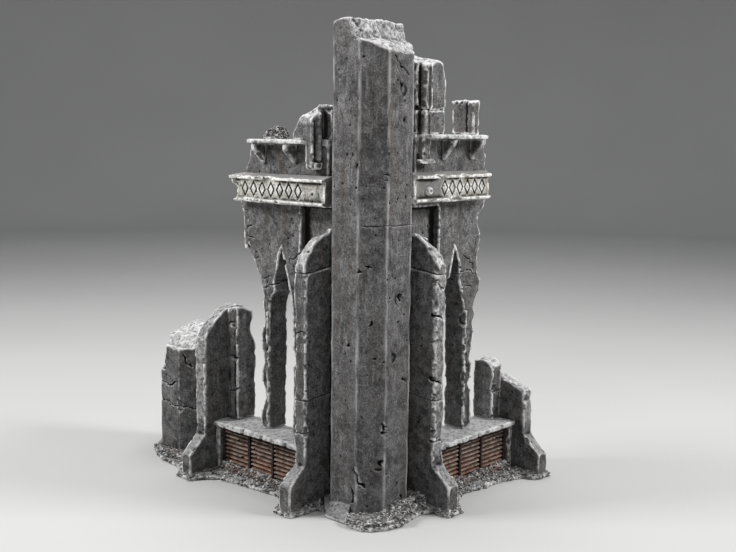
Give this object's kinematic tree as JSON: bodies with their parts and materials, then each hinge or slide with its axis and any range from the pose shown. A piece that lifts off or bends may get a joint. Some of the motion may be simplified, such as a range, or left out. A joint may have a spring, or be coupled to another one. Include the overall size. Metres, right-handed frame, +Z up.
{
  "type": "miniature terrain ruin",
  "caption": "Tabletop terrain corner ruin: tall octagonal column with a broken gothic window wall, buttresses, louvres and blank name board on each side.",
  "frame": {"origin": "on the table, under the axis of the corner column", "axes": "+Z up; the left wing runs along -X with its outer face towards -Y; the right wing runs along +Y with its outer face towards +X"},
  "size_m": [0.1665, 0.1225, 0.196],
  "materials": {
    "dark_stone": "matt painted stone, dry-brushed edges",
    "pale_stone": "matt pale painted stone",
    "pale_board": "matt cream painted stone",
    "rusty_metal": "matt rust wash over grey",
    "grit": "coarse grit, dry-brushed",
    "steel_pin": "plain"
  },
  "bodies": {
    "root": {"ground_base": "grit", "column_foot": "dark_stone", "column_lower": "dark_stone", "column_upper": "dark_stone", "column_pin": "steel_pin", "corner_rubble": "grit", "left_plinth_wall": "dark_stone", "left_sill": "pale_stone", "left_grille_posts": "dark_stone", "left_grille_bars": "rusty_metal", "left_louvre_slats": "rusty_metal", "left_buttress_foot": "dark_stone", "left_buttress_shaft": "dark_stone", "left_buttress_head": "dark_stone", "left_near_jamb": "dark_stone", "left_mullion": "dark_stone", "left_spandrel": "dark_stone", "left_far_jamb": "dark_stone", "left_lintel": "dark_stone", "left_name_board": "pale_board", "left_board_boss": "dark_stone", "left_frieze": "dark_stone", "left_corbels": "dark_stone", "left_shelf": "pale_stone", "left_upper_pier": "dark_stone", "left_end_foot": "dark_stone", "left_end_buttress": "dark_stone", "left_rubble_bank": "grit", "left_stub_column": "dark_stone", "left_coping_rubble": "grit", "right_plinth_wall": "dark_stone", "right_sill": "pale_stone", "right_grille_posts": "dark_stone", "right_grille_bars": "rusty_metal", "right_louvre_slats": "rusty_metal", "right_buttress_foot": "dark_stone", "right_buttress_shaft": "dark_stone", "right_buttress_head": "dark_stone", "right_near_jamb": "dark_stone", "right_mullion": "dark_stone", "right_spandrel": "dark_stone", "right_far_jamb": "dark_stone", "right_lintel": "dark_stone", "right_name_board": "pale_board", "right_board_boss": "dark_stone", "right_frieze": "dark_stone", "right_corbels": "dark_stone", "right_shelf": "pale_stone", "right_pier_base": "dark_stone", "right_upper_pier": "dark_stone", "right_pilaster_foot": "dark_stone", "right_fin_pier": "dark_stone", "right_end_foot": "dark_stone", "right_end_buttress": "dark_stone", "right_rubble_bank": "grit"}
  },
  "joints": []
}
